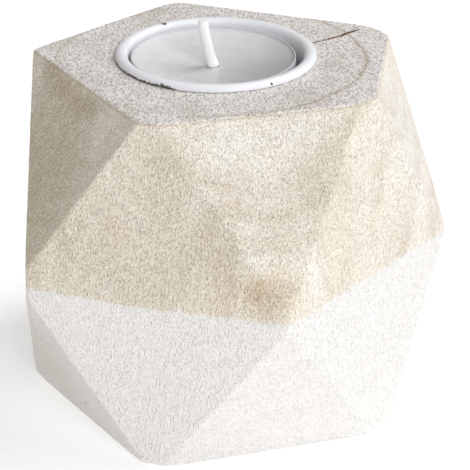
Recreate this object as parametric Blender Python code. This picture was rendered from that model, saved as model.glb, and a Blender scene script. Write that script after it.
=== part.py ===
# Faceted wooden candlestick: a hand-sawn block with a metal cup let into its top and a tealight in the cup.
# Metres, +Z up, origin on the cup's axis at the middle of the base. Lengths below are in millimetres.
import bpy
import bmesh
from math import cos, pi, radians, sin
from mathutils import Vector

mm = 0.001

# The block
height = 82.0
beltZ = 40.5            # height of the belt, where the block is widest
blankHalf = 70.0        # half the side of the blank that the faces are sawn from
sanding = 1.0           # width of the sanded edges
fit = 0.3               # clearance between neighbouring pieces

# Each face is sawn by hand, so each has its own turn about the axis (degrees)
# and its own distances from the axis. These five pairs of faces meet at the belt.
beltFaces = [           # turn, distance at the top, at the belt, at the base
    (253.5, 42.5, 46.7, 48.4),
    (321, 43.6, 46.1, 49.1),
    (29.5, 42.9, 46.0, 45.0),
    (104, 41.5, 46.0, 46.5),
    (182, 42.4, 43.6, 44.8),
]
topFaces = [            # turn, distance at the top, at the belt
    (285, 36.2, 56.2),
    (352, 38.4, 54.6),
    (69, 32.4, 56.0),
    (136.5, 34.3, 55.5),
    (211, 34.2, 56.8),
]
baseFaces = [           # turn, distance at the belt, at the base
    (287, 56.4, 41.3),
    (2, 54.4, 39.9),
    (70, 55.5, 39.5),
    (142, 55.0, 40.5),
    (214.5, 56.2, 39.0),
]

# The metal cup
cupSheet = 0.55         # thickness of the cup's metal
cupInner = 20.3         # inner radius
boreDepth = 16.0
lipWidth = 2.9          # from the cup's inner wall to the outside of its rolled lip
lipHeight = 1.2
boreRadius = cupInner + cupSheet + fit
cupBase = height - boreDepth + fit

# The tealight
candleOffset = -0.6     # the tealight lies a little to one side of the cup
candleRadius = 19.0
candleHeight = 15.0
candleSheet = 0.35
candleBase = cupBase + cupSheet + fit
waxRadius = candleRadius - candleSheet - fit
waxBase = candleBase + candleSheet + fit
waxEdge = candleBase + candleHeight - 0.35      # height of the wax where it meets the shell
waxDish = 2.6           # the wax sinks this much towards its middle
waxMiddle = waxEdge - waxDish

# The wick and the tin disc that holds it
wickRadius = 1.05
wickFlare = 1.4         # radius where it leaves the wax
wickTip = 0.95
wickLength = 12.0       # length above the wax
wickLean = -2.4         # how far the tip leans along X
discRadius = 6.5
discSheet = 0.4
neckRadius = 2.1
neckHeight = 4.0

roundSteps = 48
arcSteps = 8


def clearScene():
    for thing in list(bpy.data.objects):
        bpy.data.objects.remove(thing, do_unlink=True)


def makeMaterial(name, colour, roughness, metallic=0.0):
    material = bpy.data.materials.new(name)
    material.use_nodes = True
    shader = material.node_tree.nodes["Principled BSDF"]
    shader.inputs["Base Color"].default_value = (*colour, 1.0)
    shader.inputs["Roughness"].default_value = roughness
    shader.inputs["Metallic"].default_value = metallic
    material.diffuse_color = (*colour, 1.0)
    return material


def addObject(name, bm, material, place=(0.0, 0.0, 0.0)):
    mesh = bpy.data.meshes.new(name)
    bm.to_mesh(mesh)
    bm.free()
    mesh.materials.append(material)
    thing = bpy.data.objects.new(name, mesh)
    thing.location = Vector(place) * mm
    bpy.context.scene.collection.objects.link(thing)
    return thing


def lathe(name, profile, material, place, closed):
    """Turns an outline of (radius, height) points, outer side from the top down, about the Z axis."""
    bm = bmesh.new()
    points = [bm.verts.new((radius * mm, 0.0, z * mm)) for radius, z in profile]
    for first, second in zip(points, points[1:]):
        bm.edges.new((first, second))
    if closed:
        bm.edges.new((points[-1], points[0]))
    thing = addObject(name, bm, material, place)
    screw = thing.modifiers.new("turn", "SCREW")
    screw.steps = roundSteps
    screw.render_steps = roundSteps
    screw.use_merge_vertices = True
    screw.merge_threshold = 0.00001
    return thing


def arc(centre, radii, start, end, steps=arcSteps):
    """Points of an elliptical arc in the (radius, height) plane, angles in degrees."""
    points = []
    for step in range(steps + 1):
        angle = radians(start + (end - start) * step / steps)
        points.append((centre[0] + radii[0] * cos(angle), centre[1] + radii[1] * sin(angle)))
    return points


def sawCut(bm, turn, lowDistance, lowZ, highDistance, highZ):
    """Saws away what lies outside the plane at these two distances from the axis."""
    outward = Vector((cos(radians(turn)), sin(radians(turn)), 0.0))
    rise = Vector((0.0, 0.0, (highZ - lowZ) * mm)) + outward * (highDistance - lowDistance) * mm
    across = Vector((-outward.y, outward.x, 0.0))
    point = outward * lowDistance * mm + Vector((0.0, 0.0, lowZ * mm))
    geometry = bm.verts[:] + bm.edges[:] + bm.faces[:]
    cut = bmesh.ops.bisect_plane(
        bm, geom=geometry, dist=1e-6, plane_co=point, plane_no=across.cross(rise), clear_outer=True)
    edges = [item for item in cut["geom_cut"] if isinstance(item, bmesh.types.BMEdge)]
    bmesh.ops.contextual_create(bm, geom=edges)


def woodBlock(material):
    bm = bmesh.new()
    bmesh.ops.create_cube(bm, size=1.0)
    bmesh.ops.scale(bm, vec=(2 * blankHalf * mm, 2 * blankHalf * mm, height * mm), verts=bm.verts)
    bmesh.ops.translate(bm, vec=(0.0, 0.0, height / 2 * mm), verts=bm.verts)
    for turn, top, belt, base in beltFaces:
        sawCut(bm, turn, belt, beltZ, top, height)
        sawCut(bm, turn, base, 0.0, belt, beltZ)
    for turn, top, belt in topFaces:
        sawCut(bm, turn, belt, beltZ, top, height)
    for turn, belt, base in baseFaces:
        sawCut(bm, turn, base, 0.0, belt, beltZ)
    bmesh.ops.dissolve_degenerate(bm, dist=sanding * mm, edges=bm.edges)
    bmesh.ops.bevel(
        bm, geom=bm.edges[:], offset=sanding * mm, segments=2, profile=0.5,
        affect="EDGES", clamp_overlap=True, material=-1)
    bmesh.ops.recalc_face_normals(bm, faces=bm.faces)
    block = addObject("wood_block", bm, material)

    bore = bmesh.new()
    top = height + 2 * boreDepth
    bmesh.ops.create_cone(
        bore, cap_ends=True, segments=2 * roundSteps, radius1=boreRadius * mm, radius2=boreRadius * mm,
        depth=(top - height + boreDepth) * mm)
    middle = (top + height - boreDepth) / 2
    cutter = addObject("bore_cutter", bore, material, (0.0, 0.0, middle))
    cutter.hide_render = True
    cutter.display_type = "WIRE"
    cut = block.modifiers.new("bore", "BOOLEAN")
    cut.operation = "DIFFERENCE"
    cut.solver = "EXACT"
    cut.object = cutter
    return block


def metalCup(material):
    """A drawn cup whose edge rolls outwards over the wood. Its origin is on the axis at its base."""
    outer = cupInner + cupSheet
    lipFoot = boreDepth             # the lip ends one clearance above the wood
    half = lipWidth / 2
    centre = (cupInner + half, lipFoot)
    corner = 1.5
    profile = arc(centre, (half, lipHeight), 180, 0)
    profile += arc(centre, (half - cupSheet, lipHeight - cupSheet), 0, 180)
    profile += arc((outer - corner, corner), (corner, corner), 0, -90, arcSteps // 2)
    profile += [(0.0, 0.0), (0.0, cupSheet)]
    inside = corner - cupSheet
    profile += arc((outer - corner, corner), (inside, inside), -90, 0, arcSteps // 2)
    return lathe("metal_cup", profile, material, (0.0, 0.0, cupBase), True)


def tealightCup(material):
    """The tealight's thin shell. Its origin is on the candle's own axis at its base."""
    corner = 0.8
    bead = candleSheet * 0.4
    profile = [(candleRadius - bead, candleHeight), (candleRadius, candleHeight - bead)]
    profile += arc((candleRadius - corner, corner), (corner, corner), 0, -90, arcSteps // 2)
    profile += [(0.0, 0.0), (0.0, candleSheet)]
    inside = corner - candleSheet
    profile += arc((candleRadius - corner, corner), (inside, inside), -90, 0, arcSteps // 2)
    profile += [
        (candleRadius - candleSheet, candleHeight - bead),
        (candleRadius - candleSheet + bead, candleHeight)]
    return lathe("tealight_cup", profile, material, (candleOffset, 0.0, candleBase), True)


def wax(material):
    """The wax, dished at the top, with a stepped hole for the wick and its disc."""
    middle = waxMiddle - waxBase
    discTop = discSheet + fit
    neckTop = neckHeight + fit
    hole = wickRadius + fit
    profile = []
    for step in range(arcSteps + 1):
        share = (step / arcSteps) ** 0.6
        profile.append((hole + (waxRadius - hole) * share, middle + waxDish * share ** 4))
    profile += [(waxRadius, 0.0), (discRadius + fit, 0.0), (discRadius + fit, discTop)]
    profile += [(neckRadius + fit, discTop), (neckRadius + fit, neckTop), (hole, neckTop)]
    return lathe("wax", profile, material, (candleOffset, 0.0, waxBase), True)


def wickSustainer(material):
    """The tin disc under the wax, with the neck that grips the wick."""
    hole = wickRadius + fit
    profile = [(neckRadius, neckHeight), (neckRadius, discSheet), (discRadius, discSheet)]
    profile += [(discRadius, 0.0), (hole, 0.0), (hole, neckHeight)]
    return lathe("wick_sustainer", profile, material, (candleOffset, 0.0, waxBase), True)


def wick(material):
    """A waxed wick that stands straight in the wax and leans over above it."""
    surface = waxMiddle - waxBase
    sections = [(0.0, fit, wickRadius), (0.0, surface, wickRadius)]     # lean, height, radius
    for step in range(arcSteps + 1):
        share = step / arcSteps
        lean = wickLean * (1 - (1 - share) ** 1.5)
        rise = surface + fit + (wickLength - fit) * share
        sections.append((lean, rise, wickFlare + (wickTip - wickFlare) * share ** 0.6))
    sides = 12
    bm = bmesh.new()
    rings = []
    for lean, rise, radius in sections:
        ring = []
        for side in range(sides):
            angle = 2 * pi * side / sides
            ring.append(bm.verts.new(((lean + radius * cos(angle)) * mm, radius * sin(angle) * mm, rise * mm)))
        rings.append(ring)
    for lower, upper in zip(rings, rings[1:]):
        for side in range(sides):
            after = (side + 1) % sides
            bm.faces.new((lower[side], lower[after], upper[after], upper[side]))
    bm.faces.new(list(reversed(rings[0])))
    bm.faces.new(rings[-1])
    return addObject("wick", bm, material, (candleOffset, 0.0, waxBase))


def shadeRound(thing, sharpAngle):
    thing.data.shade_smooth()
    thing.data.set_sharp_from_angle(angle=radians(sharpAngle))


def main():
    clearScene()
    wood = makeMaterial("painted_wood", (0.78, 0.70, 0.58), 0.65)
    enamel = makeMaterial("white_enamel", (0.86, 0.85, 0.82), 0.35)
    shell = makeMaterial("clear_shell", (0.84, 0.85, 0.86), 0.15)
    paraffin = makeMaterial("paraffin", (0.80, 0.79, 0.76), 0.40)
    tin = makeMaterial("tin", (0.75, 0.75, 0.74), 0.35, 1.0)
    cotton = makeMaterial("waxed_cotton", (0.88, 0.87, 0.83), 0.70)

    woodBlock(wood)
    cup = metalCup(enamel)
    candle = [tealightCup(shell), wax(paraffin), wickSustainer(tin)]
    for thing in [cup] + candle:
        shadeRound(thing, 40)
    shadeRound(wick(cotton), 60)


main()
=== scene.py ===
from math import cos, pi, radians, sin

import bmesh
import bpy
from mathutils import Euler, Matrix, Vector, noise


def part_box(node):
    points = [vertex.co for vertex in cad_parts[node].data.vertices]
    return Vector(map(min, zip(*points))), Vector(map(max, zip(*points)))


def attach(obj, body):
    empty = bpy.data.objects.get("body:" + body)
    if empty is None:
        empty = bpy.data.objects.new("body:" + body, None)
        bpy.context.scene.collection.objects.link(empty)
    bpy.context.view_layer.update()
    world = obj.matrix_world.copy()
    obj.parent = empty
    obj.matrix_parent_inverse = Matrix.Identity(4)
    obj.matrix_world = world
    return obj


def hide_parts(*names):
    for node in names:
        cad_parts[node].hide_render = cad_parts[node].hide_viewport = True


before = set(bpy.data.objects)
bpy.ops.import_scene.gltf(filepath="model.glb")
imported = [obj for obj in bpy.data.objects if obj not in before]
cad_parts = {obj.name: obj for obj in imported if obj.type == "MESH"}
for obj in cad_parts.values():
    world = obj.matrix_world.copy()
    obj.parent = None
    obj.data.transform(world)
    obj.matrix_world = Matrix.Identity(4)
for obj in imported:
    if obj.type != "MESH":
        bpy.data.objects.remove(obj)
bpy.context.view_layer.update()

mm = 0.001


# Shader maths

class Wire:
    # one output of a node; sums and products on it add Math nodes
    def __init__(self, finish, socket):
        self.finish = finish
        self.socket = socket

    def maths(self, operation, first, second):
        return self.finish.node("ShaderNodeMath", {"operation": operation}, {0: first, 1: second})

    def __add__(self, other):
        return self.maths("ADD", self, other)

    def __radd__(self, other):
        return self.maths("ADD", other, self)

    def __sub__(self, other):
        return self.maths("SUBTRACT", self, other)

    def __rsub__(self, other):
        return self.maths("SUBTRACT", other, self)

    def __mul__(self, other):
        return self.maths("MULTIPLY", self, other)

    def __rmul__(self, other):
        return self.maths("MULTIPLY", other, self)

    def __truediv__(self, other):
        return self.maths("DIVIDE", self, other)


class Finish:
    # one material, with the calls that fill its node tree
    def __init__(self, name):
        self.material = bpy.data.materials.new(name)
        self.material.use_nodes = True
        self.tree = self.material.node_tree
        self.shader = self.tree.nodes["Principled BSDF"]
        self.place = self.node("ShaderNodeTexCoord", output="Object")

    def connect(self, socket, value):
        if isinstance(value, Wire):
            self.tree.links.new(value.socket, socket)
        elif isinstance(value, (tuple, list)) and len(socket.default_value) == 4:
            socket.default_value = (*value, 1.0)
        else:
            socket.default_value = value

    def node(self, kind, settings=None, inputs=None, output=0):
        made = self.tree.nodes.new(kind)
        for name, value in (settings or {}).items():
            if name == "stops":
                self.setStops(made.color_ramp.elements, value)
            else:
                setattr(made, name, value)
        for name, value in (inputs or {}).items():
            self.connect(made.inputs[name], value)
        return Wire(self, made.outputs[output])

    def setStops(self, elements, stops):
        while len(elements) < len(stops):
            elements.new(1.0)
        for element, (position, level) in zip(elements, stops):
            element.position = position
            element.color = (level, level, level, 1.0)

    def scaled(self, across, along, shift=(0.0, 0.0, 0.0)):
        # the place on the piece, counted in lengths of this many metres across and along Z
        steps = (1 / across, 1 / across, 1 / along)
        moved = self.node("ShaderNodeVectorMath", {"operation": "ADD"}, {0: self.place, 1: shift})
        return self.node("ShaderNodeVectorMath", {"operation": "MULTIPLY"}, {0: moved, 1: steps})

    def grain(self, across, along, detail=2.0, rough=0.5, shift=(0.0, 0.0, 0.0)):
        # noise from 0 to 1 whose lumps have that width and length
        where = self.scaled(across, along, shift)
        return self.node(
            "ShaderNodeTexNoise", {}, {"Vector": where, "Scale": 1.0, "Detail": detail, "Roughness": rough})

    def between(self, value, low, high, toLow=0.0, toHigh=1.0, smooth=True):
        # value from low to high, carried over to toLow to toHigh and held at both ends
        settings = {"interpolation_type": "SMOOTHSTEP" if smooth else "LINEAR"}
        return self.node(
            "ShaderNodeMapRange", settings, {"Value": value, "From Min": low, "From Max": high,
                                             "To Min": toLow, "To Max": toHigh})

    def mixColour(self, first, second, share):
        return self.node("ShaderNodeMix", {"data_type": "RGBA"}, {0: share, 6: first, 7: second}, 2)

    def near(self, spot, radius, tall=1.0, ragged=None):
        # 1 at a spot, falling to 0 at that distance from it; tall stretches it along Z
        squeeze = (1.0, 1.0, 1 / tall)
        spot = tuple(part * share for part, share in zip(spot, squeeze))
        place = self.node("ShaderNodeVectorMath", {"operation": "MULTIPLY"}, {0: self.place, 1: squeeze})
        gap = self.node("ShaderNodeVectorMath", {"operation": "DISTANCE"}, {0: place, 1: spot}, "Value")
        if ragged is not None:
            gap = gap + (ragged - 0.5) * radius
        return self.between(gap, radius, 0.0)

    def bump(self, height, depth, strength=1.0, onto=None):
        inputs = {"Height": height, "Distance": depth, "Strength": strength}
        if onto is not None:
            inputs["Normal"] = onto
        return self.node("ShaderNodeBump", {}, inputs, "Normal")

    def set(self, **values):
        names = {"colour": "Base Color", "roughness": "Roughness", "metallic": "Metallic", "normal": "Normal",
                 "clear": "Transmission Weight",
                 "ior": "IOR", "inside": "Subsurface Weight", "insideRadius": "Subsurface Radius",
                 "insideScale": "Subsurface Scale", "shine": "Specular IOR Level",
                 "glow": "Emission Color", "glowStrength": "Emission Strength"}
        for name, value in values.items():
            self.connect(self.shader.inputs[names[name]], value)
        return self.material


# Mesh helpers

def addPiece(name, form, material, body, replaced, sharpAngle=35):
    mesh = bpy.data.meshes.new(name)
    form.to_mesh(mesh)
    form.free()
    mesh.materials.clear()
    mesh.materials.append(material)
    mesh.shade_smooth()
    mesh.set_sharp_from_angle(angle=radians(sharpAngle))
    piece = bpy.data.objects.new(name, mesh)
    bpy.context.scene.collection.objects.link(piece)
    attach(piece, body)
    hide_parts(replaced)
    return piece


def arc(centre, radii, start, end, steps):
    # points of an elliptical arc in the (radius, height) plane
    points = []
    for step in range(steps + 1):
        angle = radians(start + (end - start) * step / steps)
        points.append((centre[0] + radii[0] * cos(angle), centre[1] + radii[1] * sin(angle)))
    return points


def turned(outline, centre, steps, closed=True):
    # an outline of (radius, height) points turned about an upright axis
    form = bmesh.new()
    points = [form.verts.new((centre.x + radius, centre.y, height)) for radius, height in outline]
    edges = [form.edges.new(pair) for pair in zip(points, points[1:])]
    if closed:
        edges.append(form.edges.new((points[-1], points[0])))
    bmesh.ops.spin(
        form, geom=points + edges, cent=(centre.x, centre.y, 0.0), axis=(0.0, 0.0, 1.0),
        dvec=(0.0, 0.0, 0.0), angle=2 * pi, steps=steps, use_merge=True, use_duplicate=False)
    bmesh.ops.remove_doubles(form, verts=form.verts, dist=1e-7)
    bmesh.ops.recalc_face_normals(form, faces=form.faces)
    return form


def middle(node):
    low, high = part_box(node)
    return (low + high) / 2


# The wooden block

block = {
    "facetArea": 60 * mm * mm,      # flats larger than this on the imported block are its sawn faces
    "sanding": 1.0 * mm,            # width of the sanded edges
    "sandingSteps": 3,
    "cornerReach": 6.0 * mm,        # the corners are sanded rounder, out to this far from each
    "cornerPasses": 16,
    "dice": 1.05 * mm,              # spacing of the fine mesh
    "unevenness": 0.17 * mm,        # how far sanding has left the faces from flat
    "bore": 0.3 * mm,               # clearance around the metal cup
    # along the split in the top: x, y, width, in mm
    "crack": [(22.2, 8.7, 0.7), (24.4, 10.1, 0.8), (26.3, 11.2, 0.7), (27.6, 12.5, 0.9), (29.3, 13.5, 1.0),
              (30.6, 15.3, 1.2), (32.3, 16.7, 0.9), (33.6, 17.7, 0.7), (34.3, 18.3, 0.1)],
    "crackSide": (-0.45, 0.89, 0.0),    # square to the split
    "crackDepth": 1.6 * mm,
}


def sawnFaces():
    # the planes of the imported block's large flats, the bore's floor left out
    low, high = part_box("wood_block")
    flats = {}
    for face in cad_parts["wood_block"].data.polygons:
        if face.area > 1e-9:
            key = tuple(round(part, 2) for part in face.normal) + (round(face.normal.dot(face.center), 4),)
            flats.setdefault(key, []).append(face)
    planes = []
    for faces in flats.values():
        area = sum(face.area for face in faces)
        normal = sum((face.normal * face.area for face in faces), Vector()).normalized()
        centre = sum((face.center * face.area for face in faces), Vector()) / area
        buried = normal.z > 0.9 and centre.z < high.z - mm
        if area > block["facetArea"] and not buried:
            planes.append((centre, normal))
    return planes


def cutter(name, form):
    mesh = bpy.data.meshes.new(name)
    form.to_mesh(mesh)
    form.free()
    thing = bpy.data.objects.new(name, mesh)
    bpy.context.scene.collection.objects.link(thing)
    return thing


def boreCutter():
    low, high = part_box("metal_cup")
    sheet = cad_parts["metal_cup"].data.vertices
    wall = max(vertex.co.xy.length for vertex in sheet if vertex.co.z < (low.z + high.z) / 2)
    form = bmesh.new()
    top = high.z + 5 * mm
    floor = low.z - block["bore"]
    bmesh.ops.create_cone(
        form, cap_ends=True, segments=144, radius1=wall + block["bore"], radius2=wall + block["bore"],
        depth=top - floor, matrix=Matrix.Translation((0.0, 0.0, (top + floor) / 2)))
    return cutter("bore", form)


def crackCutter(top):
    # a thin jagged wedge along the split, wide at the surface and closed below
    form = bmesh.new()
    wedge = []
    for x, y, width in block["crack"]:
        side = Vector(block["crackSide"]) * width * mm / 2
        spot = Vector((x * mm, y * mm, 0.0))
        lift = Vector((0.0, 0.0, top + 0.4 * mm))
        foot = Vector((0.0, 0.0, top - block["crackDepth"]))
        wedge.append([form.verts.new(point) for point in
                      (spot + side * 1.3 + lift, spot - side * 1.3 + lift, spot + foot)])
    for before, after in zip(wedge, wedge[1:]):
        for corner in range(3):
            following = (corner + 1) % 3
            form.faces.new((before[corner], before[following], after[following], after[corner]))
    form.faces.new(wedge[0])
    form.faces.new(wedge[-1])
    bmesh.ops.recalc_face_normals(form, faces=form.faces)
    return cutter("crack", form)


def sawnBlock():
    low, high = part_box("wood_block")
    form = bmesh.new()
    bmesh.ops.create_cube(form, size=1.0)
    bmesh.ops.scale(form, vec=(high - low) * 1.5, verts=form.verts)
    bmesh.ops.translate(form, vec=(low + high) / 2, verts=form.verts)
    for centre, normal in sawnFaces():
        cut = bmesh.ops.bisect_plane(
            form, geom=form.verts[:] + form.edges[:] + form.faces[:], dist=1e-6,
            plane_co=centre, plane_no=normal, clear_outer=True)
        rim = [item for item in cut["geom_cut"] if isinstance(item, bmesh.types.BMEdge)]
        bmesh.ops.contextual_create(form, geom=rim)
    bmesh.ops.dissolve_degenerate(form, dist=0.8 * mm, edges=form.edges)
    corners = [vertex.co.copy() for vertex in form.verts]
    bmesh.ops.bevel(
        form, geom=form.edges[:], offset=block["sanding"], segments=block["sandingSteps"], profile=0.5,
        affect="EDGES", clamp_overlap=True, material=-1)
    bmesh.ops.recalc_face_normals(form, faces=form.faces)
    return form, corners


def dice(form, low, high):
    # slices the faces along all three axes, so that the surface can be worked finely
    for axis in range(3):
        count = int((high[axis] - low[axis]) / block["dice"])
        for step in range(1, count):
            place = Vector((0.0, 0.0, 0.0))
            place[axis] = low[axis] + (high[axis] - low[axis]) * step / count + 0.013 * mm
            direction = Vector((0.0, 0.0, 0.0))
            direction[axis] = 1.0
            bmesh.ops.bisect_plane(
                form, geom=form.verts[:] + form.edges[:] + form.faces[:], dist=1e-7,
                plane_co=place, plane_no=direction)


def sandCorners(form, corners, top):
    # each corner is worn round; those around the top stay crisper
    for corner in corners:
        reach = block["cornerReach"] * (0.6 if corner.z > top - mm else 1.0)
        around = [vertex for vertex in form.verts if (vertex.co - corner).length < reach]
        for step in range(block["cornerPasses"]):
            nearby = [vertex for vertex in around
                      if (vertex.co - corner).length < reach * (1 - 0.6 * step / block["cornerPasses"])]
            bmesh.ops.smooth_vert(
                form, verts=nearby, factor=0.5, use_axis_x=True, use_axis_y=True, use_axis_z=True)


def sandFaces(form):
    # sanding by hand leaves the faces slightly hollowed and their edges slightly wavy
    low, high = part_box("wood_block")
    form.normal_update()
    for vertex in form.verts:
        place = vertex.co
        if place.xy.length < 24 * mm or place.z < low.z + 0.2 * mm:
            continue
        broad = noise.noise(place / (14 * mm))
        fine = noise.noise(place / (3.2 * mm) + Vector((7.0, 3.0, 1.0)))
        depth = block["unevenness"] * (0.55 + 0.45 * broad + 0.25 * fine)
        moved = place - vertex.normal * max(0.0, depth)
        for axis in range(3):
            moved[axis] = min(max(moved[axis], low[axis]), high[axis])
        vertex.co = moved


def makeBlock():
    low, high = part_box("wood_block")
    sawn, corners = sawnBlock()
    blank = cutter("blank", sawn)
    tools = [boreCutter(), crackCutter(high.z)]
    for tool in tools:
        cut = blank.modifiers.new(tool.name, "BOOLEAN")
        cut.operation = "DIFFERENCE"
        cut.solver = "EXACT"
        cut.object = tool
    bpy.context.view_layer.update()
    graph = bpy.context.evaluated_depsgraph_get()
    form = bmesh.new()
    form.from_mesh(blank.evaluated_get(graph).to_mesh())
    for thing in [blank] + tools:
        bpy.data.objects.remove(thing, do_unlink=True)
    dice(form, low, high)
    sandCorners(form, corners, high.z)
    sandFaces(form)
    piece = addPiece("block", form, woodFinish(low, high), "block", "wood_block", 40)
    triangles = sum(len(face.vertices) - 2 for face in piece.data.polygons)
    print("block:", len(piece.data.polygons), "faces,", triangles, "triangles")
    return piece


wood = {
    "pale": (0.955, 0.880, 0.750),
    "light": (1.0, 0.975, 0.925),
    "tan": (0.60, 0.49, 0.345),
    "olive": (0.66, 0.615, 0.455),
    "blush": (0.84, 0.715, 0.610),
    "chalk": (0.99, 0.97, 0.96),
    "gold": (0.72, 0.56, 0.33),
    "rust": (0.50, 0.34, 0.18),
    "endGrain": (1.0, 0.952, 0.922),
    "endTan": (0.62, 0.54, 0.42),
    "pore": (0.36, 0.30, 0.22),
    "endPore": (0.47, 0.43, 0.395),
    "split": (0.20, 0.115, 0.055),
    "paint": (0.890, 0.860, 0.832),
    "paintShade": (0.60, 0.575, 0.55),
    "paintRaised": (0.97, 0.965, 0.955),
    "paintShadowed": (0.775, 0.735, 0.675),
    "shadedSpot": (-46.0, -22.0, 14.0),                       # painted shade: the lower left painted face is darker and warmer about this point, in mm
    "shadedReach": 34.0 * mm,
    "speckColour": (0.10, 0.09, 0.08),
    "speckSize": 0.6 * mm,
    "speckle": (0.43 * mm, 0.88 * mm, 0.6 * mm),            # size of the open pores along each axis
    "pith": (-1.0 * mm, -1.0 * mm, 0.0),
    "rings": [(28.8, 0.7, 0.25), (35.3, 1.6, 0.75), (42.6, 1.8, 0.60), (45.0, 1.3, 0.50), (48.2, 1.8, 0.60),
              (52.4, 1.8, 0.60)],                           # radius, width, darkness
    "lateRing": (35.2 * mm, 0.38 * mm),                     # the one ring that ends in a thin dark line
    "ringReach": 62.0 * mm,
    # clouds of colour in the wood: place, radius and stretch along Z in mm, colour, strength
    "clouds": [
        ((-12, -43, 56), 26, 1.2, "olive", 0.40), ((-9, -43, 74), 9, 1.0, "olive", 0.55),
        ((-28, -37, 50), 17, 1.2, "olive", 0.45), ((-21, -41, 57), 10, 1.1, "blush", 0.75),
        ((-13, -44, 66), 6, 1.0, "blush", 0.45), ((4, -40, 77), 13, 0.6, "light", 0.55),
        ((18, -37, 78), 11, 0.6, "light", 0.5), ((3, -44, 67), 9, 0.7, "blush", 0.8),
        ((21.5, -40, 67), 11, 1.0, "olive", 0.70), ((25, -36, 75), 7, 1.2, "olive", 0.5),
        ((14, -46, 59), 10, 0.6, "olive", 0.45), ((1.0, -48, 55), 6, 2.4, "tan", 0.62),
        ((3.0, -49, 46), 6, 1.4, "blush", 0.8), ((9.5, -50, 53.5), 6, 0.7, "light", 0.5),
        ((22, -45.6, 49), 4.6, 2.2, "light", 0.75), ((10.5, -51.0, 47.0), 11.0, 0.8, "gold", 0.62),
        ((8.6, -51.4, 47.6), 4.6, 0.9, "rust", 0.40), ((12.6, -51.6, 45.0), 5.0, 1.2, "rust", 0.40),
        ((6.0, -51.0, 50.0), 3.6, 1.4, "rust", 0.22), ((-2.5, -47.5, 60.0), 4.0, 2.0, "rust", 0.22),
        # olive and tan clouds about the upper left face: partly the wood's own browner colour there, partly
        # painted shade on that face
        ((-46, -20, 60), 34, 1.4, "olive", 0.95), ((-36, -26, 66), 16, 1.2, "olive", 0.6),
        ((-48, -22, 46), 20, 1.0, "tan", 0.45), ((-33, -22, 70), 13, 1.0, "tan", 0.35),
        ((-37.6, -5.3, 80.4), 6.5, 1.0, "tan", 0.9), ((-35.2, -10.5, 79.4), 6.5, 0.8, "tan", 0.9),
        ((-33.4, -15.2, 78.4), 6.2, 0.8, "rust", 0.50), ((-30.6, -19.0, 78.2), 6.4, 0.8, "rust", 0.52),
        ((-27.6, -23.0, 79.0), 6.0, 0.8, "tan", 0.8), ((44, -20, 46), 8, 1.2, "blush", 0.5),
        ((33, -30, 60), 9, 2.4, "light", 0.3), ((45, -8, 66), 26, 1.4, "chalk", 0.6),
        ((10, -43, 68), 20, 0.9, "light", 0.30), ((33, -31, 56), 22, 1.5, "olive", 0.16),
        ((5, -45, 64), 9, 0.5, "tan", 0.36), ((14, -44.5, 62), 9, 0.5, "olive", 0.5),
        ((22, -41, 66), 8, 0.6, "tan", 0.3),
        # the tan cloud at (-44, -16, 62) is partly painted shade on the upper left face
        ((-44, -16, 62), 30, 1.4, "tan", 0.36), ((-14, -45, 56), 24, 1.2, "olive", 0.14),
    ],
    "beltZ": 40.5 * mm,             # the paint ends at the belt
    "paintWander": 1.3 * mm,
    # where the paint's edge leaves the belt: place, reach and drop in mm
    "paintBows": [((-14, -45, 40.5), 26, 0.8), ((19, -47, 40.5), 10, 0.4), ((-8, -46.4, 40.5), 1.5, -1.0)],
    "speck": (-30.4 * mm, -29.8 * mm, 6.9 * mm),
}


def inMetres(spot):
    return tuple(part * mm for part in spot)


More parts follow.
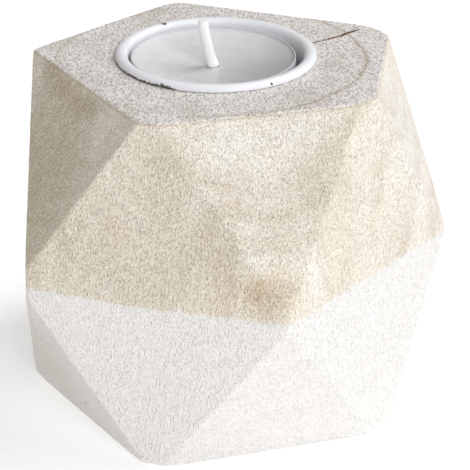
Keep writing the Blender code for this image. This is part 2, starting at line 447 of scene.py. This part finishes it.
def woodFinish(low, high):
    finish = Finish("painted_wood")
    node = finish.node
    height = node("ShaderNodeSeparateXYZ", {}, {0: finish.place}, "Z")
    # growth rings about the pith, each a soft band with a sharper outer side
    flat = node("ShaderNodeVectorMath", {"operation": "MULTIPLY"}, {0: finish.place, 1: (1.0, 1.0, 0.0)})
    radius = node("ShaderNodeVectorMath", {"operation": "DISTANCE"}, {0: flat, 1: wood["pith"]}, "Value")
    wobble = finish.grain(14 * mm, 50 * mm, 2.0)
    jitter = finish.grain(1.2 * mm, 6 * mm, 2.0, 0.6, (0.02, 0.07, 0.01))
    radius = radius + (wobble - 0.5) * (3.0 * mm) + (jitter - 0.5) * (1.3 * mm)
    stops = [(0.0, 0.0)]
    for middleRadius, width, darkness in wood["rings"]:
        reach = wood["ringReach"] / mm
        stops += [((middleRadius - width) / reach, 0.0), ((middleRadius + width * 0.2) / reach, darkness),
                  ((middleRadius + width * 0.45) / reach, 0.0)]
    stops.append((1.0, 0.0))
    rings = node("ShaderNodeValToRGB", {"stops": stops}, {0: radius / wood["ringReach"]})
    patchy = finish.between(finish.grain(20 * mm, 40 * mm, 1.0, 0.5, (0.3, 0.1, 0.2)), 0.36, 0.60, 0.4, 1.0)
    ringDark = rings * patchy

    # long streaks, short fibres and fine pores that run up the block
    streak = finish.between(finish.grain(1.1 * mm, 50 * mm, 3.0, 0.6), 0.42, 0.66)
    blotch = finish.between(finish.grain(15 * mm, 34 * mm, 3.0, 0.55, (0.11, 0.03, 0.07)), 0.42, 0.66)
    moss = finish.between(finish.grain(11 * mm, 26 * mm, 3.0, 0.55, (0.41, 0.23, 0.17)), 0.44, 0.68)
    fibre = finish.grain(0.39 * mm, 0.98 * mm, 2.0, 0.6)
    tooth = finish.grain(0.31 * mm, 0.46 * mm, 1.0, 0.5, (0.05, 0.02, 0.0))
    ragged = finish.grain(2.4 * mm, 5.0 * mm, 3.0, 0.65, (0.07, 0.05, 0.09))
    pile = fibre * 0.55 + tooth * 0.45
    pores = finish.between(pile, 0.53, 0.37)
    raised = finish.between(pile, 0.47, 0.63)

    side = finish.mixColour(wood["pale"], wood["blush"], blotch * 0.28)
    side = finish.mixColour(side, wood["olive"], moss * 0.30)
    for spot, reach, tall, colour, strength in wood["clouds"]:
        cloud = finish.near(inMetres(spot), reach * mm, tall, ragged)
        side = finish.mixColour(side, wood[colour], cloud * strength)
    side = finish.mixColour(side, wood["blush"], streak * 0.28)
    side = finish.mixColour(side, wood["tan"], ringDark * finish.between(ragged, 0.30, 0.62, 0.25, 0.75))
    # darker pores, partly the wood's own open pores and partly painted shade in the pits; lighter raised
    # fibres, painted highlight
    side = finish.mixColour(side, wood["pore"], pores * 0.29)
    side = finish.mixColour(side, wood["light"], raised * 0.45)
    # painted shade: the sanded band just under the top edge is darkened with tan
    rim = finish.between(height, high.z - 1.1 * mm, high.z - 0.5 * mm)
    side = finish.mixColour(side, wood["tan"], rim * 0.42)

    # end grain on the top: open pores, seen end on
    lumps = tuple(1 / size for size in wood["speckle"])
    where = node("ShaderNodeVectorMath", {"operation": "MULTIPLY"}, {0: finish.place, 1: lumps})
    speckle = node("ShaderNodeTexNoise", {}, {"Vector": where, "Scale": 1.0, "Detail": 2.0, "Roughness": 0.7})
    ringRadius, ringWidth = wood["lateRing"]
    off = node("ShaderNodeMath", {"operation": "ABSOLUTE"}, {0: radius - ringRadius})
    across = node("ShaderNodeSeparateXYZ", {}, {0: finish.place}, "X")
    along = node("ShaderNodeSeparateXYZ", {}, {0: finish.place}, "Y")
    line = finish.between(off, ringWidth, 0.0) * finish.between(ragged, 0.37, 0.56)
    line = line * finish.between(across, -14.0 * mm, 30.0 * mm) * finish.between(along, 18.0 * mm, 13.0 * mm)
    end = finish.mixColour(wood["endGrain"], wood["endTan"], ringDark * 0.75)
    end = finish.mixColour(end, wood["rust"], line * 0.95)
    end = finish.mixColour(end, wood["endTan"], moss * 0.30)
    end = finish.mixColour(end, wood["endPore"], finish.between(speckle, 0.54, 0.38, smooth=False) * 0.84)
    topShare = finish.between(height, high.z - 0.42 * mm, high.z - 0.25 * mm)
    bare = finish.mixColour(side, end, topShare)

    # the split in the top: rust-brown along it, and painted shade dark inside it
    seam = 0.0
    spots = block["crack"]
    for before, after in zip(spots, spots[1:-1]):
        spot = ((before[0] + after[0]) / 2 * mm, (before[1] + after[1]) / 2 * mm, high.z - 0.3 * mm)
        seam = finish.near(spot, 2.2 * mm) + seam
    bare = finish.mixColour(bare, wood["rust"], finish.between(seam + (tooth - 0.5) * 0.5, 0.78, 1.02) * 0.5)
    # painted shade: below the top, the split's inside is painted near black-brown
    inside = finish.between(height, high.z - 0.20 * mm, high.z - 0.36 * mm)
    bare = finish.mixColour(bare, wood["split"], inside * finish.between(seam, 0.05, 0.2))

    # white paint up to the belt, its edge a little ragged along the fibres
    wander = (finish.grain(0.7 * mm, 1.3 * mm, 3.0, 0.7) - 0.5) * (2 * wood["paintWander"])
    edge = height + wander
    for spot, reach, drop in wood["paintBows"]:
        edge = edge + finish.near(inMetres(spot), reach * mm) * (drop * mm)
    painted = finish.between(edge, wood["beltZ"] + 0.10 * mm, wood["beltZ"] - 0.10 * mm)
    # painted shade: the paint turns darker and warmer about the lower left face
    lowerLeftShade = finish.near(inMetres(wood["shadedSpot"]), wood["shadedReach"])
    coat = finish.mixColour(wood["paint"], wood["paintShadowed"], lowerLeftShade)
    # painted shade in the paint's pits, partly dust, and painted highlight on its raised grain
    coat = finish.mixColour(coat, wood["paintShade"], pores * 0.25)
    coat = finish.mixColour(coat, wood["paintRaised"], raised * 0.35)
    fleck = finish.between(finish.near(wood["speck"], wood["speckSize"]), 0.4, 0.6)
    coat = finish.mixColour(coat, wood["speckColour"], fleck)
    colour = finish.mixColour(bare, coat, painted)

    roughness = 0.80 - painted * 0.2 + (fibre - 0.5) * 0.15
    softness = finish.between(height, wood["beltZ"] - 2.5 * mm, wood["beltZ"] + 2.5 * mm, 0.85, 1.0)
    softness = softness * (1 - topShare * 0.6)
    normal = finish.bump((fibre - 0.5) * softness, 0.60 * mm, 1.0)
    normal = finish.bump((tooth - 0.5) * softness, 0.40 * mm, 1.0, normal)
    normal = finish.bump((speckle - 0.5) * topShare, 0.45 * mm, 1.0, normal)
    return finish.set(colour=colour, roughness=roughness, normal=normal, shine=0.22)


# The metal cup

cup = {
    "sheet": 0.55 * mm,
    "corner": 1.5 * mm,
    "lipGap": 0.3 * mm,             # the rolled lip ends this far above the wood
    "lipSteps": 14,
    "steps": 160,
    # chips in the enamel: turn about the axis, radius, height above the wood, reach, depth, in mm
    "chips": [(125.6, 21.5, 1.45, 1.15, 0.16), (-57.2, 23.1, 0.75, 0.62, 0.16)],
    # places where painted shadow darkens the lip's foot, in the gap over the wood: turn, reach and height in
    # mm
    "lipFootShadows": [(-120.0, 4.2, 0.32), (-130.0, 4.0, 0.20), (-146.0, 6.0, 0.16), (-164.0, 5.0, 0.12)],
    "enamel": (0.90, 0.905, 0.93),
    "enamelShade": (0.84, 0.845, 0.875),
    "enamelDeep": (0.66, 0.66, 0.70),   # down inside, where less light reaches the paint
    "chipColour": (0.06, 0.05, 0.045),
    "lipShadowColour": (0.07, 0.06, 0.05),
}


def onLip(turn, radius, height):
    angle = radians(turn)
    return Vector((radius * mm * cos(angle), radius * mm * sin(angle), height))


def makeCup():
    low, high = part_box("metal_cup")
    centre = middle("metal_cup")
    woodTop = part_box("wood_block")[1].z
    outerRadius = (high.x - low.x) / 2
    sheet = cup["sheet"]
    inner = min(vertex.co.xy.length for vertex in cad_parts["metal_cup"].data.vertices
                if abs(vertex.co.z - woodTop) < 2 * mm)
    lipFoot = woodTop + cup["lipGap"]
    half = (outerRadius - inner) / 2
    lipHeight = high.z - lipFoot
    ridge = (inner + half, lipFoot)
    wall = inner + sheet
    corner = cup["corner"]
    floor = low.z
    outline = arc(ridge, (half, lipHeight), 180, -8, cup["lipSteps"])
    outline += arc(ridge, (half - sheet, lipHeight - sheet), -8, 180, cup["lipSteps"])
    outline += arc((wall - corner, floor + corner), (corner, corner), 0, -90, 6)
    outline += [(0.0, floor), (0.0, floor + sheet)]
    outline += arc((wall - corner, floor + corner), (corner - sheet, corner - sheet), -90, 0, 6)
    form = turned(outline, centre, cup["steps"])
    for turn, spotRadius, height, reach, depth in cup["chips"]:
        spot = onLip(turn, spotRadius, woodTop + height * mm)
        inward = -spot.xy.normalized()
        for vertex in form.verts:
            gap = (vertex.co - spot).length / (reach * mm)
            if gap < 1.0:
                vertex.co += Vector((inward.x, inward.y, -0.5)) * depth * mm * (1 - gap * gap)
    piece = addPiece("cup", form, enamelFinish(outerRadius, woodTop), "cup", "metal_cup", 50)
    print("cup:", len(piece.data.polygons), "faces")
    return piece


def enamelFinish(outerRadius, woodTop):
    finish = Finish("white_enamel")
    cloud = finish.grain(3.0 * mm, 3.0 * mm, 3.0)
    orange = finish.grain(0.5 * mm, 0.5 * mm, 2.0)
    grit = finish.grain(0.35 * mm, 0.35 * mm, 3.0, 0.7)
    ragged = finish.grain(0.9 * mm, 0.9 * mm, 3.0, 0.7, (0.02, 0.01, 0.03))
    shaded = finish.between(cloud, 0.72, 0.2) * 0.5
    colour = finish.mixColour(cup["enamel"], cup["enamelShade"], shaded)
    for turn, spotRadius, height, reach, depth in cup["chips"]:
        spot = onLip(turn, spotRadius, woodTop + height * mm)
        chip = finish.between(finish.near(tuple(spot), reach * mm, 1.0, grit), 0.30, 0.50)
        colour = finish.mixColour(colour, cup["chipColour"], chip * 0.92)
    height = finish.node("ShaderNodeSeparateXYZ", {}, {0: finish.place}, "Z")
    foot = woodTop + cup["lipGap"]
    deep = finish.between(height, foot, foot - 3.0 * mm)
    colour = finish.mixColour(colour, cup["enamelDeep"], deep * 0.5)
    # painted shadow: ragged near-black patches on the lip's foot, for the shaded gap over the wood
    for turn, reach, rise in cup["lipFootShadows"]:
        share = finish.near(tuple(onLip(turn, outerRadius / mm, foot)), reach * mm)
        line = height - share * (rise * 2.2 * mm) * finish.between(ragged, 0.34, 0.60)
        bare = finish.between(line, foot + 0.05 * mm, foot - 0.05 * mm) * finish.between(share, 0.02, 0.12)
        bare = bare * finish.between(height, foot - 0.7 * mm, foot - 0.35 * mm)
        colour = finish.mixColour(colour, cup["lipShadowColour"], bare)
    normal = finish.bump(orange, 0.05 * mm, 0.6)
    roughness = 0.34 + cloud * 0.12
    return finish.set(colour=colour, roughness=roughness, normal=normal)


# The tealight: shell, wax, wick and the wick's tin foot

tealight = {
    "shell": 0.35 * mm,
    "shellCorner": 0.8 * mm,
    "steps": 128,
    "shellColour": (0.97, 0.97, 0.98),
    "shellHaze": (0.92, 0.92, 0.94),
}


def makeShell():
    low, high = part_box("tealight_cup")
    centre = middle("tealight_cup")
    radius = (high.x - low.x) / 2
    sheet = tealight["shell"]
    corner = tealight["shellCorner"]
    inside = radius - sheet
    outline = arc((radius - sheet / 2, high.z - sheet / 2), (sheet / 2, sheet / 2), 180, 0, 6)
    outline += arc((radius - corner, low.z + corner), (corner, corner), 0, -90, 6)
    outline += [(0.0, low.z), (0.0, low.z + sheet)]
    outline += arc((inside - corner + sheet, low.z + corner), (corner - sheet, corner - sheet), -90, 0, 6)
    form = turned(outline, centre, tealight["steps"])
    piece = addPiece("candle_shell", form, shellFinish(), "tealight", "tealight_cup", 50)
    print("candle shell:", len(piece.data.polygons), "faces")
    return piece


def shellFinish():
    finish = Finish("clear_shell")
    haze = finish.grain(2.0 * mm, 6.0 * mm, 2.0)
    colour = finish.mixColour(tealight["shellColour"], tealight["shellHaze"], haze)
    return finish.set(colour=colour, roughness=0.14 + haze * 0.15, clear=0.35, ior=1.49)


wax = {
    "shellGap": 0.03 * mm,          # the wax all but touches the shell
    "dishSteps": 46,
    "steps": 160,
    "climb": 0.55 * mm,             # how far the wax climbs the wick
    "climbReach": 2.4 * mm,
    "waxShade": (16.0, -9.0, 80.0),    # painted shade: the wax is greyer on the front right, the side away from the wick's lean
    "waxShadeReach": 29.0 * mm,
    # drops set on the wax: x and y from the wick, reach, height, in mm
    "drops": [(-2.6, -1.3, 1.1, 0.22), (2.9, 0.6, 0.8, 0.16), (-13.2, 3.2, 0.6, 0.16), (8.8, 9.6, 0.6, 0.14),
              (-1.6, 2.4, 0.9, 0.15), (10.5, -5.5, 0.5, 0.08)],
    "ripple": 0.07 * mm,
    "colour": (0.77, 0.77, 0.77),
    "cloudy": (0.72, 0.72, 0.725),
    "waxShadeColour": (0.40, 0.40, 0.40),
}


def makeWax():
    low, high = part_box("wax")
    centre = middle("wax")
    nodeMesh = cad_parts["wax"].data.vertices
    shellLow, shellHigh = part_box("tealight_cup")
    radius = (shellHigh.x - shellLow.x) / 2 - tealight["shell"] - wax["shellGap"]
    gaps = [((vertex.co - centre).xy.length, vertex.co.z) for vertex in nodeMesh]
    hole = min(gap for gap, height in gaps)
    dishFloor = max(height for gap, height in gaps if gap < hole + 0.05 * mm)
    feet = sorted({round(gap, 5) for gap, height in gaps if height < low.z + 0.01 * mm})
    recess = feet[0]
    shelves = sorted({round(height, 5) for gap, height in gaps if low.z < height < dishFloor - mm})
    discTop, neckTop = shelves[0], shelves[-1]
    neck = min(gap for gap, height in gaps if abs(height - discTop) < 0.05 * mm)
    outline = []
    for step in range(wax["dishSteps"] + 1):
        share = step / wax["dishSteps"]
        reach = hole + (radius - hole) * share
        dish = 0.75 * share ** 2 + 0.25 * share ** 6
        outline.append((reach, dishFloor + (high.z - dishFloor) * dish))
    outline += [(radius, low.z), (recess, low.z), (recess, discTop), (neck, discTop), (neck, neckTop),
                (hole, neckTop)]
    form = turned(outline, centre, wax["steps"])
    drops = [(0.0, 0.0, wax["climbReach"] / mm, wax["climb"] / mm)] + wax["drops"]
    for vertex in form.verts:
        if vertex.co.z < dishFloor - 0.01 * mm:
            continue
        ripple = noise.noise(vertex.co / (5 * mm)) * wax["ripple"]
        for x, y, reach, lift in drops:
            gap = (vertex.co.xy - centre.xy - Vector((x, y)) * mm).length / (reach * mm)
            if gap < 1.0:
                ripple += lift * mm * (1 - gap) ** 2 * (1 + 2 * gap)
        edgeShare = (vertex.co.xy - centre.xy).length / radius
        vertex.co.z += ripple * min(1.0, (1 - edgeShare) * 12)
    piece = addPiece("wax_fill", form, waxFinish(), "tealight", "wax", 50)
    print("wax:", len(piece.data.polygons), "faces")
    return piece


def waxFinish():
    finish = Finish("paraffin")
    cloud = finish.grain(4.0 * mm, 4.0 * mm, 3.0)
    colour = finish.mixColour(wax["colour"], wax["cloudy"], finish.between(cloud, 0.4, 0.65))
    # painted shade: the wax is greyer towards its front right
    waxShade = finish.near(inMetres(wax["waxShade"]), wax["waxShadeReach"])
    colour = finish.mixColour(colour, wax["waxShadeColour"], waxShade * 0.85)
    normal = finish.bump(cloud, 0.12 * mm, 0.5)
    return finish.set(colour=colour, roughness=0.24 + cloud * 0.12, normal=normal, inside=0.1,
                      insideRadius=(1.0, 0.95, 0.9), insideScale=2.0 * mm)


wick = {
    "strands": 3,
    "sides": 18,
    "sections": 40,
    "twist": 1.6,                   # turns of the strands over the whole length
    "flare": 1.62 * mm,
    "tip": 1.15 * mm,
    "trimmed": 0.6 * mm,            # the tip is cut this much short
    "leanTip": 0.95 * mm,           # half the width that the lean is measured to
    "lobe": 0.07,                   # depth of the grooves between strands, as a share of the radius
    "length": 12.0 * mm,            # above the wax
    "buried": 1.05 * mm,            # radius inside the wax
    "colour": (1.0, 1.0, 1.0),
    "threadShade": (0.94, 0.94, 0.945),
}


def makeWick():
    low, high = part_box("wick")
    axis = middle("tealight_cup")
    surface = high.z - wick["length"]
    lean = low.x + wick["leanTip"] - axis.x
    form = bmesh.new()
    ring = bmesh.ops.create_circle(form, cap_ends=True, segments=wick["sides"], radius=1.0)["verts"]
    rings = [ring]
    for section in range(wick["sections"]):
        rim = [edge for edge in form.edges if edge.verts[0] in ring and edge.verts[1] in ring]
        made = bmesh.ops.extrude_edge_only(form, edges=rim)["geom"]
        ring = [item for item in made if isinstance(item, bmesh.types.BMVert)]
        rings.append(ring)
    for index, ring in enumerate(rings):
        share = index / wick["sections"]
        height = low.z + (high.z - wick["trimmed"] - low.z) * share
        above = max(0.0, (height - surface) / (high.z - surface))
        radius = wick["buried"]
        if height > surface + 0.3 * mm:
            radius = wick["flare"] + (wick["tip"] - wick["flare"]) * above ** 0.6
        offset = lean * (1 - (1 - above) ** 1.5)
        for vertex in ring:
            angle = Vector((1.0, 0.0)).angle_signed(vertex.co.xy) if vertex.co.xy.length else 0.0
            twisted = wick["strands"] * (angle + wick["twist"] * 2 * pi * share)
            groove = 1 - wick["lobe"] * (0.5 + 0.5 * cos(twisted))
            vertex.co = Vector((axis.x + offset + vertex.co.x * radius * groove,
                                axis.y + vertex.co.y * radius * groove, height))
    bmesh.ops.contextual_create(form, geom=[edge for edge in form.edges if edge.is_boundary])
    bmesh.ops.recalc_face_normals(form, faces=form.faces)
    piece = addPiece("wick_braid", form, wickFinish(), "tealight", "wick", 60)
    print("wick:", len(piece.data.polygons), "faces")
    return piece


def wickFinish():
    finish = Finish("waxed_cotton")
    thread = finish.grain(0.25 * mm, 0.8 * mm, 3.0)
    colour = finish.mixColour(wick["colour"], wick["threadShade"], finish.between(thread, 0.6, 0.4))
    normal = finish.bump(thread, 0.06 * mm, 0.5)
    return finish.set(colour=colour, roughness=0.45 + thread * 0.15, normal=normal, inside=0.5,
                      insideRadius=(1.0, 1.0, 1.0), insideScale=0.8 * mm)


tin = {
    "colour": (0.72, 0.72, 0.71),
    "scratched": (0.58, 0.58, 0.57),
}


def tinFinish():
    finish = Finish("tin")
    scratch = finish.grain(0.3 * mm, 2.5 * mm, 3.0)
    colour = finish.mixColour(tin["colour"], tin["scratched"], scratch)
    return finish.set(colour=colour, roughness=0.25 + scratch * 0.2, metallic=1.0,
                      normal=finish.bump(scratch, 0.02 * mm, 0.4))


def finishSustainer():
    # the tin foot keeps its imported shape
    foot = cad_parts["wick_sustainer"]
    foot.data.materials.clear()
    foot.data.materials.append(tinFinish())
    print("tin foot: packed shape")


# The floor, the lights and the camera

stage = {
    "floorSize": 12.0,
    "floorColour": (0.93, 0.93, 0.93),
    "floorGlow": 0.38,
    "worldColour": (1.0, 0.965, 0.92),
    "world": 0.32,
    # bearing and height in degrees, distance and size in metres, power in watts
    "lights": {
        "key": {"bearing": -69, "height": 24, "distance": 3.0, "size": 1.5, "power": 44.7,
                "colour": (0.97, 1.0, 1.04)},
        "back": {"bearing": 20, "height": 51, "distance": 3.0, "size": 2.0, "power": 51.5,
                 "colour": (0.98, 1.0, 1.03)},
    },
    "target": (4.44 * mm, 0.0, 36.06 * mm),
    "distance": 457.0 * mm,
    "elevation": 26.16,
    "roll": 0.09,
    "lens": 145.57,
    "sensor": 36.0,
}


def makeStage():
    form = bmesh.new()
    bmesh.ops.create_grid(form, x_segments=1, y_segments=1, size=stage["floorSize"] / 2)
    mesh = bpy.data.meshes.new("floor")
    form.to_mesh(mesh)
    form.free()
    floor = bpy.data.objects.new("floor", mesh)
    bpy.context.scene.collection.objects.link(floor)
    finish = Finish("floor")
    mesh.materials.append(finish.set(
        colour=stage["floorColour"], roughness=0.9, shine=0.0, glow=stage["floorColour"],
        glowStrength=stage["floorGlow"]))

    world = bpy.data.worlds.new("studio")
    world.use_nodes = True
    background = world.node_tree.nodes["Background"]
    background.inputs["Color"].default_value = (*stage["worldColour"], 1.0)
    background.inputs["Strength"].default_value = stage["world"]
    bpy.context.scene.world = world

    aim = Vector(stage["target"])
    for name, setup in stage["lights"].items():
        data = bpy.data.lights.new(name, "AREA")
        data.shape = "SQUARE"
        data.size = setup["size"]
        data.energy = setup["power"]
        data.color = setup["colour"]
        lamp = bpy.data.objects.new(name, data)
        bearing = radians(setup["bearing"])
        rise = radians(setup["height"])
        away = Vector((cos(bearing) * cos(rise), sin(bearing) * cos(rise), sin(rise)))
        lamp.location = aim + away * setup["distance"]
        lamp.rotation_euler = (aim - lamp.location).to_track_quat("-Z", "Y").to_euler()
        bpy.context.scene.collection.objects.link(lamp)
    print("stage: floor and", len(stage["lights"]), "lights")


def makeCamera():
    data = bpy.data.cameras.new("camera")
    data.lens = stage["lens"]
    data.sensor_width = stage["sensor"]
    data.clip_start = 0.01
    camera = bpy.data.objects.new("camera", data)
    slope = radians(stage["elevation"])
    back = Vector((0.0, -cos(slope), sin(slope))) * stage["distance"]
    camera.location = Vector(stage["target"]) + back
    tilt = Euler((pi / 2 - slope, 0.0, 0.0)).to_matrix()
    turn = Matrix.Rotation(radians(stage["roll"]), 3, "Z")
    camera.rotation_euler = (tilt @ turn).to_euler()
    bpy.context.scene.collection.objects.link(camera)
    bpy.context.scene.camera = camera
    bpy.context.scene.view_settings.view_transform = "Standard"
    print("camera set")


makeCamera()
makeStage()
makeBlock()
makeCup()
makeShell()
makeWax()
makeWick()
finishSustainer()
